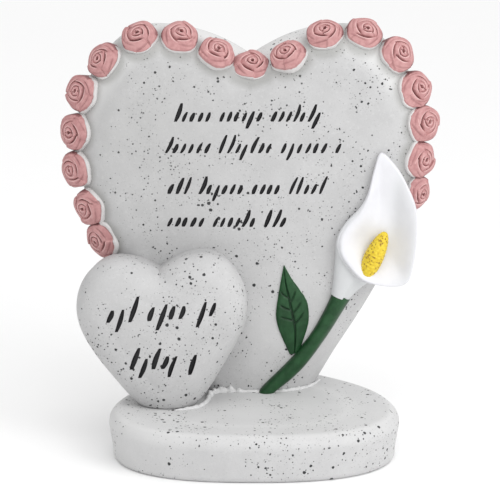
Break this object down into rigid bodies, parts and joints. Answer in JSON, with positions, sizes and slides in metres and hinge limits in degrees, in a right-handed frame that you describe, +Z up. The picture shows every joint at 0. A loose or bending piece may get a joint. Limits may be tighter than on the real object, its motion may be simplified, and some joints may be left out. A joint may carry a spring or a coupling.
{
  "type": "memorial heart flower pot",
  "caption": "Upright rose-bordered memorial heart on an oval base, with a small heart and a calla lily in front and a flower pot at the back.",
  "frame": {"origin": "middle of the base's flat underside, on the ground", "axes": "+Z up, -Y to the front of the hearts, +X to the right of someone who looks at the front"},
  "size_m": [0.1632, 0.1183, 0.1887],
  "materials": {
    "painted_casting": "speckled light grey stone-effect resin, with pink roses, a white lily and a green stem and leaf painted by hand",
    "base_casting": "speckled light grey stone-effect resin"
  },
  "bodies": {
    "root": {"memorial_heart": "painted_casting", "oval_base": "base_casting"}
  },
  "joints": []
}
